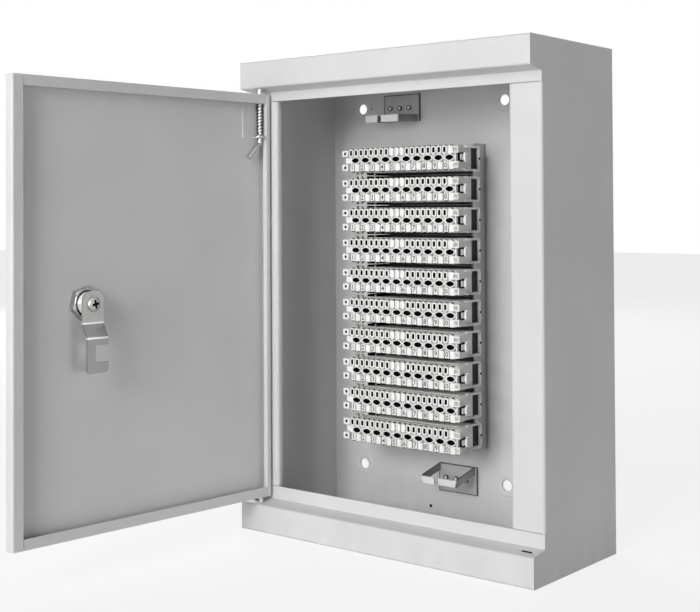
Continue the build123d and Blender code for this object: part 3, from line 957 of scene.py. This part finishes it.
def build_module(number, plan, settings, shapes, materials):
    """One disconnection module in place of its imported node."""
    node = f"module_{number:02d}"
    low, high = node_box(node)
    level = (low.z + high.z) / 2
    stock = Stock(*materials)
    centre, half, front, back = (plan[key] for key in ("centre", "half", "front", "back"))
    slab = (SLAB_FRONT, front + SLAB_DEPTH)
    body = (front + SLAB_DEPTH - 1.0, back - RECESS_DEPTH)
    recess = (back - RECESS_DEPTH - 0.5, back - 0.3)
    stock.pad(centre, half, slab, level, SLAB_SPREAD, edge=0.4)
    stock.pad(centre, BODY_HALF, body, level, BODY_SPREAD, edge=0.5)
    # The rear recess in dark grey painted shade.
    stock.pad(centre, BODY_HALF - 0.3, recess, level, RECESS_SPREAD, STEEL_SHADE)
    holder(stock, plan, number, level)
    slot_row(stock, plan, level, settings)
    lens_row(stock, plan, level, settings)
    number_row(stock, plan, level, shapes)
    ears(stock, plan, level)
    for hand in (-1, 1):
        latch(stock, plan, level, hand)
        near, far = sorted((centre + hand * RIM_NEAR, centre + hand * RIM_FAR))
        end_rim(stock, near, far, back - RIM_LENGTH, back, level - RIM_HALF, level + RIM_HALF)
        # A small near-black block beside each rim's back bar: painted shade.
        near, far = sorted((centre + hand * (RIM_NEAR + 0.1), centre + hand * (RIM_FAR + 0.2)))
        stock.block((near, back - 1.5, level - 0.8), (far, back - 0.1, level + 0.8), PAINTED_SHADE)
    contacts(stock, plan, level)
    replaced = [node] if number > 1 else [node, "module_test_strips"]
    return stock.piece(f"module_{number:02d}_dressed", "case", replaced)


class CABINET_OT_modules(bpy.types.Operator):
    """Builds the ten disconnection modules: slots, test openings, numbers, ears and rims"""

    bl_idname = "cabinet.modules"
    bl_label = "Disconnection Modules"

    def execute(self, context):
        settings = context.scene.cabinet_modules
        metals = context.scene.cabinet_metals
        materials = (
            moulded_plastic("module_plastic_white", settings.plastic_tone),
            painted_shade_finish("slot_depth", settings.slot_shade_tone),
            zinc_plate("contact_silver", metals.contact_tone),
            printed_ink("number_ink", settings.ink_tone),
            painted_shade_finish("holder_shade", HOLDER_SHADE_TONE),
        )
        shapes = digit_shapes(settings.number_height / MM)
        plan = module_plan()
        for number in range(1, MODULE_COUNT + 1):
            build_module(number, plan, settings, shapes, materials)
        return {"FINISHED"}


# Case, door and frame

FRAME_FACE = -43.75
DRAIN_LENGTH = 7.0
DRAIN_WIDTH = 2.0
DRAIN_INSET = 8.0
CASE_SHEET = 1.2
RIVET_REACH = 4.2
WALL_HOLES_ACROSS = (-93.0, 36.8)
WALL_HOLES_UP = (35.0, 319.8)
SPARE_HOLES = ((-85.0, 320.1), (-30.0, 10.4))
# Near-black painted shade of the spare holes.
SPARE_HOLE_SHADE_TONE = grey(0.02)
RING_EDGE, FRAME_EDGE, CAM_EDGE = 0.45, 0.3, 0.25

# Radii and heights over the back panel.
DIMPLE_PROFILE = (
    (8.6, -0.05),
    (8.2, 0.25),
    (7.4, 0.42),
    (6.6, 0.3),
    (5.0, 0.06),
    (4.05, 0.04),
    (4.05, -0.05),
)
SPARE_RIM_PROFILE = ((1.9, -0.05), (1.7, 0.08), (1.3, 0.05))
SPARE_FLOOR_PROFILE = ((1.3, 0.05), (1.25, 0.03))


def drain_shade_boxes():
    """Boxes round the sill's two drain slots, where the sill's coat is painted near-black as shade."""
    low, high = node_box("bottom_sill")
    half = Vector((DRAIN_LENGTH / 2 + 0.1, DRAIN_WIDTH / 2 + 0.1, 0.0))
    middles = [
        Vector((side, (low.y + FRAME_FACE) / 2, 0.0))
        for side in (low.x + DRAIN_INSET, high.x - DRAIN_INSET)
    ]
    return [(middle - half, middle + half) for middle in middles]


def soften(width, node):
    """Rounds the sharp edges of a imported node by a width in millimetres."""
    shape = frame["nodes"][node]
    weld = shape.modifiers.new("weld", "WELD")
    weld.merge_threshold = 0.002 * MM
    bevel = shape.modifiers.new("soft_edges", "BEVEL")
    bevel.width = width * MM
    bevel.segments = 2
    bevel.limit_method = "ANGLE"
    bevel.angle_limit = math.radians(40)
    bevel.harden_normals = False


class CABINET_OT_coats(bpy.types.Operator):
    """Coats the case, hood, sill and door"""

    bl_idname = "cabinet.coats"
    bl_label = "Powder Coats"

    def execute(self, context):
        settings = context.scene.cabinet_coat
        case_coat = powder_coat("case_coat", settings.case_tone, settings)
        lay(case_coat, "case_wrap", "top_hood")
        # The sill's coat is painted near-black round its drain slots as shade.
        sill_coat = powder_coat("sill_coat", settings.case_tone, settings, drain_shade_boxes())
        lay(sill_coat, "bottom_sill")
        lay(powder_coat("door_coat", settings.door_tone, settings), "door_pan")
        return {"FINISHED"}


class CABINET_OT_wall_dimples(bpy.types.Operator):
    """Presses a shallow dimple round each wall hole and adds the small spare holes, each a near-black
    disc of painted shade.
    """

    bl_idname = "cabinet.wall_dimples"
    bl_label = "Wall Hole Dimples"

    def execute(self, context):
        coat = bpy.data.materials["case_coat"]
        low, high = node_box("case_wrap")
        inner = high.y - CASE_SHEET
        stock = Stock(coat, painted_shade_finish("spare_hole", SPARE_HOLE_SHADE_TONE))
        turn = Matrix.Rotation(math.radians(90), 4, "X")
        for across in WALL_HOLES_ACROSS:
            for up in WALL_HOLES_UP:
                place = Matrix.Translation((across, inner, up)) @ turn
                stock.skin(turned(DIMPLE_PROFILE, place, 40), smooth=True)
        for across, up in SPARE_HOLES:
            place = Matrix.Translation((across, inner, up)) @ turn
            stock.skin(turned(SPARE_RIM_PROFILE, place, 20), smooth=True)
            # Each spare hole's floor: a near-black disc, painted shade.
            stock.skin(turned(SPARE_FLOOR_PROFILE, place, 20), 1, None, 1)
        stock.piece("wall_hole_dimples", "case")
        return {"FINISHED"}


class CABINET_OT_frame(bpy.types.Operator):
    """Finishes the back-mount frame, its screws, the cable rings and the grommet"""

    bl_idname = "cabinet.frame"
    bl_label = "Frame and Rings"

    def execute(self, context):
        metals = context.scene.cabinet_metals
        pitch = metals.brush_pitch / MM
        lay(satin_steel("frame_satin", metals.steel_tone, pitch, "Z"), "module_frame")
        for ring in ("upper_cable_ring", "lower_cable_ring"):
            tone = scaled(metals.steel_tone, 0.6)
            lay(ring_steel(ring + "_steel", tone, pitch, *node_box(ring)), ring)
            soften(RING_EDGE, ring)
        soften(FRAME_EDGE, "module_frame")
        lay(zinc_plate("fixing_zinc", metals.zinc_tone), "frame_screws")
        heads = head_places("ring_rivets", RIVET_REACH)
        lay(rivet_zinc("rivet_zinc", metals.zinc_tone, *heads), "ring_rivets")
        lay(dull_rubber("grommet_rubber"), "entry_grommet")
        return {"FINISHED"}


# Hinge

WASHER_BORE = 3.4
WASHER_DIAMETER = 9.0
WASHER_THICKNESS = 0.6
WIRE_STEPS, WIRE_SIDES = 20, 10


class CABINET_OT_hinge(bpy.types.Operator):
    """Finishes the hinge bolt, its bracket and the lower pin, and adds the washer on the tab"""

    bl_idname = "cabinet.hinge"
    bl_label = "Hinge"

    def execute(self, context):
        metals = context.scene.cabinet_metals
        zinc = zinc_plate("hinge_zinc", metals.zinc_tone)
        lay(zinc, "hinge_bolt", "lower_hinge_pin")
        lay(bpy.data.materials["door_coat"], "hinge_bracket")
        low, high = node_box("hinge_spring")
        place = Matrix.Translation(((low.x + high.x) / 2, (low.y + high.y) / 2, low.z))
        inner, outer = WASHER_BORE / 2, WASHER_DIAMETER / 2
        profile = [
            (inner, 0.0),
            (outer, 0.0),
            (outer, WASHER_THICKNESS * 0.7),
            (outer - 0.15, WASHER_THICKNESS),
            (inner + 0.1, WASHER_THICKNESS),
            (inner, WASHER_THICKNESS * 0.8),
        ]
        washer = Stock(zinc)
        washer.skin(turned(profile, place, 40), looped=True)
        washer.piece("hinge_washer", "door")
        return {"FINISHED"}


class CABINET_OT_spring(bpy.types.Operator):
    """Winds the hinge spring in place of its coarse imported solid"""

    bl_idname = "cabinet.spring"
    bl_label = "Hinge Spring"

    def execute(self, context):
        settings = context.scene.cabinet_spring
        wire = settings.wire / MM
        low, high = node_box("hinge_spring")
        centre = ((low.x + high.x) / 2, (low.y + high.y) / 2)
        radius = (high.x - low.x) / 2 - wire / 2
        bottom, top = low.z + WASHER_THICKNESS + wire / 2, high.z - wire / 2
        tone = context.scene.cabinet_metals.wire_shade_tone
        stock = Stock(satin_steel("spring_wire", tone, 0.2, "Z"))
        rings = []
        steps = settings.turns * WIRE_STEPS
        dead = 1.0 / settings.turns
        section = circle_outline(wire / 2, WIRE_SIDES)
        for step in range(steps + 1):
            share = step / steps
            climb = max(0.0, min(1.0, (share - dead) / (1 - 2 * dead)))
            closed = (min(share, dead) + max(share, 1 - dead) - (1 - dead)) / dead * 0.5
            height = bottom + wire * closed + (top - bottom - wire) * climb
            angle = 2 * math.pi * settings.turns * share
            outward = Vector((math.cos(angle), math.sin(angle), 0.0))
            middle = Vector((*centre, height)) + outward * radius
            rings.append([middle + outward * out + Vector((0.0, 0.0, up)) for out, up in section])
        stock.skin(rings, 0, 0, 0, smooth=True)
        spring = stock.piece("hinge_spring_wound", "door", ["hinge_spring"])
        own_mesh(spring)
        return {"FINISHED"}


# Lock. Heights are along the lock's axis, from the outside of the door's skin inwards.

NUT_TURN = 15.0
NUT_FLATS = 20.2
NUT_CHAMFER = 10.9
NUT_MOUTH = 9.0
NUT_SEAT, NUT_LEAD, NUT_TOP = 1.0, 4.6, 6.4
THREAD_RADIUS = 7.9
THREAD_DEPTH = 0.35
THREAD_PITCH = 1.0
THREAD_START, BARREL_TOP = 0.9, 10.7
BARREL_BORE = 4.55

# Radii and heights of the bezel, from the bore round to the shank.
BEZEL_PROFILE = (
    (BARREL_BORE, -2.4),
    (9.0, -2.4),
    (9.9, -2.2),
    (10.35, -1.7),
    (10.5, -1.1),
    (10.5, -0.02),
    (THREAD_RADIUS, -0.02),
    (THREAD_RADIUS, 0.8),
)

# Radii and heights of the screw's head over its seat.
SCREW_SEAT = 12.8
SCREW_PROFILE = ((4.9, 0.0), (5.0, 0.5), (4.85, 1.1), (4.3, 1.8), (3.5, 2.3))
SCREW_TURN = 12.0
CROSS_LENGTH, CROSS_WIDTH = 2.9, 0.85
CROSS_MOUTH, CROSS_FLOOR = 2.5, 1.0

CAM_BENDS = (-12.4, -21.8)
# Near-black painted shade inside the nut and the screw's cross recess.
LOCK_RECESS_SHADE_TONE = grey(0.015)
ROUND_STEPS = 72


def lock_place():
    """Frame of the lock in millimetres: Z runs from the door's skin towards its inside, Y up."""
    joints = {joint["name"]: joint for joint in frame["joints"]}
    if "lock_turn" not in joints:
        raise RuntimeError("the packed model has no joint lock_turn")
    joint = joints["lock_turn"]
    inward = -Vector(joint["axis"]).normalized()
    up = Vector((0.0, 0.0, 1.0))
    across = up.cross(inward)
    turn = Matrix((across, up, inward)).transposed().to_4x4()
    return Matrix.Translation(Vector(joint["pos_m"]) / MM) @ turn


def hexagon(radius, count):
    """Points of a hexagon by its corner radius, count points in all, its corners turned."""
    points = []
    for step in range(count):
        angle = 2 * math.pi * step / count
        side = (math.degrees(angle) - NUT_TURN) % 60.0
        reach = radius * math.cos(math.radians(30)) / math.cos(math.radians(side - 30))
        points.append((reach * math.cos(angle), reach * math.sin(angle)))
    return points


def cross_outline(length, width, count):
    """Points round the screw's cross recess."""
    points = []
    for step in range(count):
        angle = 2 * math.pi * step / count
        side = math.radians((math.degrees(angle) - SCREW_TURN + 45.0) % 90.0 - 45.0)
        along, beside = math.cos(side), max(abs(math.sin(side)), 1e-6)
        reach = max(min(length / along, width / beside), min(width / along, length / beside))
        points.append((reach * math.cos(angle), reach * math.sin(angle)))
    return points


def build_nut(place, zinc, recess_shade):
    """Chamfered hex nut with a deep lead-in to its thread, near-black inside as painted shade."""
    full = hexagon(NUT_FLATS / 2 / math.cos(math.radians(30)), ROUND_STEPS)
    held = []
    for x, y in full:
        kept = min(1.0, NUT_CHAMFER / math.hypot(x, y))
        held.append((x * kept, y * kept))
    mouth = circle_outline(NUT_MOUTH, ROUND_STEPS)
    throat = circle_outline(THREAD_RADIUS + 0.05, ROUND_STEPS)
    outside = (
        (throat, NUT_SEAT),
        (circle_outline(NUT_FLATS / 2 - 0.2, ROUND_STEPS), NUT_SEAT),
        (held, NUT_SEAT + 0.35),
        (full, NUT_SEAT + 0.9),
        (full, NUT_TOP - 0.9),
        (held, NUT_TOP - 0.45),
        (circle_outline(NUT_FLATS / 2 - 0.25, ROUND_STEPS), NUT_TOP),
        (mouth, NUT_TOP),
    )
    inside = ((mouth, NUT_TOP), (throat, NUT_LEAD), (throat, NUT_SEAT))
    stock = Stock(zinc, recess_shade)
    stock.skin([upright_ring(outline, height, place) for outline, height in outside])
    stock.skin([upright_ring(outline, height, place) for outline, height in inside], 1)
    stock.piece("lock_nut_dressed", "door", ["lock_nut"])


def build_barrel(place, chrome):
    """Turned barrel: rounded bezel outside, threaded shank inside, bored for the plug."""
    profile = list(BEZEL_PROFILE)
    root = THREAD_RADIUS - THREAD_DEPTH
    height = THREAD_START
    while height < BARREL_TOP - THREAD_PITCH:
        profile.append((root, height))
        profile.append((THREAD_RADIUS, height + THREAD_PITCH * 0.45))
        profile.append((THREAD_RADIUS, height + THREAD_PITCH * 0.6))
        height += THREAD_PITCH
    profile += [(root, height), (THREAD_RADIUS - 0.7, BARREL_TOP), (BARREL_BORE, BARREL_TOP)]
    stock = Stock(chrome)
    stock.skin(turned(profile, place, 56), looped=True)
    stock.piece("lock_barrel_dressed", "door", ["lock_barrel"])


def build_screw(place, zinc, recess_shade):
    """Pan-head screw with a cross recess that holds the cam, the recess near-black as painted shade.
    """
    rings = turned([(radius, SCREW_SEAT + up) for radius, up in SCREW_PROFILE], place, ROUND_STEPS)
    mouth = cross_outline(CROSS_LENGTH, CROSS_WIDTH, ROUND_STEPS)
    floor = cross_outline(CROSS_LENGTH * 0.6, CROSS_WIDTH * 0.7, ROUND_STEPS)
    mouth = upright_ring(mouth, SCREW_SEAT + CROSS_MOUTH, place)
    floor = upright_ring(floor, SCREW_SEAT + CROSS_FLOOR, place)
    stock = Stock(zinc, recess_shade)
    stock.skin(rings, 0, 0, smooth=True)
    stock.skin([rings[-1], mouth])
    stock.skin([mouth, floor], 1, None, 1)
    stock.piece("cam_screw_dressed", "lock_cam", ["cam_screw"])


def bent_cam_zinc(name, tone, bends):
    """Zinc of the cam: painted highlights along its two bends, painted shade on the slope between
    them, and darker below the lower bend.
    """
    finish = Finish(name, metallic=1.0)
    crystals = finish.cells(1.1)
    passive = finish.noise(5.0, 3.0)
    scratch = finish.noise(0.35, 2.0, (1.0, 1.0, 0.06))
    base = finish.tint(scaled(tone, 0.88), scaled(tone, 1.1), crystals * 0.5 + passive * 0.5)
    height = finish.axis("Z")
    upper, lower = bends
    # Painted shade on the slope between the bends.
    above = ((upper * MM - height) / (0.3 * MM)).held()
    below = ((height - lower * MM) / (0.3 * MM)).held()
    base = finish.over(base, scaled(tone, 0.62), above * below * 0.75)
    hook = ((lower * MM - height) / (1.5 * MM)).held()
    base = finish.over(base, scaled(tone, 0.66), hook * 0.7)
    # Painted highlights along the two bends.
    bend_highlight = None
    for bend in bends:
        away = (height - bend * MM) / (0.75 * MM)
        line = (1.0 - away * away).held()
        bend_highlight = line if bend_highlight is None else bend_highlight.greater(line)
    base = finish.over(base, BEND_HIGHLIGHT_TONE, bend_highlight * 0.9)
    gloss = 0.42 + crystals * 0.08 + scratch * 0.12 + bend_highlight * 0.1
    bump = finish.relief(crystals * 0.4 + scratch * 0.6, 0.02, 0.5)
    return finish.feed(base_color=base, roughness=gloss, normal=bump)


class CABINET_OT_lock(bpy.types.Operator):
    """Builds the lock's nut, threaded barrel and screw, and finishes its plug and cam"""

    bl_idname = "cabinet.lock"
    bl_label = "Lock"

    def execute(self, context):
        metals = context.scene.cabinet_metals
        chrome = chrome_plate("lock_chrome", metals.chrome_tone)
        recess_shade = painted_shade_finish("lock_recess", LOCK_RECESS_SHADE_TONE)
        zinc = zinc_plate("lock_zinc", scaled(metals.zinc_tone, 0.72))
        place = lock_place()
        build_nut(place, zinc, recess_shade)
        build_barrel(place, chrome)
        build_screw(place, zinc, recess_shade)
        lay(chrome, "lock_plug")
        bends = [place.translation.z + bend for bend in CAM_BENDS]
        lay(bent_cam_zinc("cam_zinc", scaled(metals.zinc_tone, 0.74), bends), "lock_cam")
        soften(CAM_EDGE, "lock_cam")
        return {"FINISHED"}


# Studio

CAMERA_PLACE = (0.52461, -0.78004, 0.23784)
CAMERA_YAW = 41.464
CAMERA_PITCH = 0.937
CAMERA_ROLL = -0.215
CAMERA_SHIFT = (0.1429, -0.1651)
LAMP_TARGET = (0.0, -0.05, 0.17)
FLOOR_HALF = 6.0

# Name, place and size of each lamp, in metres.
LAMPS = (
    ("key_lamp", (0.35, -2.2, 0.85), 0.7),
    ("low_lamp", (-0.2, -2.0, 0.15), 0.8),
    ("high_lamp", (0.1, -1.6, 1.7), 1.0),
    ("rear_lamp", (-1.7, 1.3, 0.9), 1.0),
    ("side_lamp", (1.9, -0.2, 0.2), 0.6),
)


def add_lamp(name, place, size, watts):
    """A soft square lamp aimed at the middle of the cabinet."""
    lamp = bpy.data.lights.new(name, "AREA")
    lamp.shape = "SQUARE"
    lamp.size = size
    lamp.energy = watts
    stand = bpy.data.objects.new(name, lamp)
    way = Vector(LAMP_TARGET) - Vector(place)
    turn = way.to_track_quat("-Z", "Y").to_matrix().to_4x4()
    stand.matrix_world = Matrix.Translation(place) @ turn
    bpy.context.scene.collection.objects.link(stand)


class CABINET_OT_studio(bpy.types.Operator):
    """Sets the camera, the lamps, the world and the floor"""

    bl_idname = "cabinet.studio"
    bl_label = "Studio"

    def execute(self, context):
        settings = context.scene.cabinet_studio
        self.set_camera(context, settings)
        self.set_floor(settings)
        self.set_world(context, settings)
        for name, place, size in LAMPS:
            add_lamp(name, place, size, getattr(settings, name.replace("lamp", "power")))
        context.scene.view_settings.view_transform = "Standard"
        return {"FINISHED"}

    def set_camera(self, context, settings):
        angles = (CAMERA_YAW, CAMERA_PITCH, CAMERA_ROLL)
        yaw, pitch, roll = (math.radians(angle) for angle in angles)
        ahead = Vector((-math.sin(yaw), math.cos(yaw), 0.0))
        forward = ahead * math.cos(pitch) + Vector((0.0, 0.0, math.sin(pitch)))
        level = Vector((math.cos(yaw), math.sin(yaw), 0.0))
        upright = level.cross(forward)
        right = level * math.cos(roll) + upright * math.sin(roll)
        up = upright * math.cos(roll) - level * math.sin(roll)
        data = bpy.data.cameras.new("camera")
        data.sensor_width = 36.0
        data.lens = settings.lens
        data.shift_x, data.shift_y = CAMERA_SHIFT
        camera = bpy.data.objects.new("camera", data)
        turn = Matrix((right, up, -forward)).transposed().to_4x4()
        camera.matrix_world = Matrix.Translation(CAMERA_PLACE) @ turn
        context.scene.collection.objects.link(camera)
        context.scene.camera = camera

    def set_floor(self, settings):
        grid = bmesh.new()
        bmesh.ops.create_grid(grid, x_segments=8, y_segments=8, size=FLOOR_HALF)
        data = bpy.data.meshes.new("floor")
        grid.to_mesh(data)
        grid.free()
        paint = floor_paint("floor_paint", settings.floor_tone, *node_box("case_wrap"))
        data.materials.append(paint)
        floor = bpy.data.objects.new("floor", data)
        bpy.context.scene.collection.objects.link(floor)

    def set_world(self, context, settings):
        world = bpy.data.worlds.new("studio_sky")
        world.use_nodes = True
        sky = NodeTree(world.node_tree)
        light, backdrop = (
            sky.node("ShaderNodeBackground", inputs={"Color": (1.0, 1.0, 1.0, 1.0), "Strength": level})
            for level in (settings.sky_level, 1.0)
        )
        shown = sky.blended(sky.seen(), light, backdrop)
        sky.node("ShaderNodeOutputWorld", inputs={"Surface": shown})
        context.scene.world = world


# Add-on

OPERATORS = (
    CABINET_OT_coats,
    CABINET_OT_wall_dimples,
    CABINET_OT_frame,
    CABINET_OT_modules,
    CABINET_OT_hinge,
    CABINET_OT_spring,
    CABINET_OT_lock,
    CABINET_OT_studio,
)
SETTINGS = {
    "cabinet_coat": CoatSettings,
    "cabinet_metals": MetalSettings,
    "cabinet_modules": ModuleSettings,
    "cabinet_spring": SpringSettings,
    "cabinet_studio": StudioSettings,
}


class CABINET_PT_panel(bpy.types.Panel):
    """Lists the cabinet's pieces in the order they are made."""

    bl_idname = "CABINET_PT_panel"
    bl_label = "Distribution Cabinet"
    bl_space_type = "VIEW_3D"
    bl_region_type = "UI"
    bl_category = "Cabinet"

    def draw(self, context):
        for operator in OPERATORS:
            self.layout.operator(operator.bl_idname)


def register():
    for group in SETTINGS.values():
        bpy.utils.register_class(group)
    for name, group in SETTINGS.items():
        setattr(bpy.types.Scene, name, bpy.props.PointerProperty(type=group))
    for operator in OPERATORS:
        bpy.utils.register_class(operator)
    bpy.utils.register_class(CABINET_PT_panel)


def unregister():
    bpy.utils.unregister_class(CABINET_PT_panel)
    for operator in reversed(OPERATORS):
        bpy.utils.unregister_class(operator)
    for name, group in SETTINGS.items():
        delattr(bpy.types.Scene, name)
        bpy.utils.unregister_class(group)


def main():
    register()
    for operator in OPERATORS:
        family, action = operator.bl_idname.split(".")
        getattr(getattr(bpy.ops, family), action)()


if __name__ == "__main__":
    main()
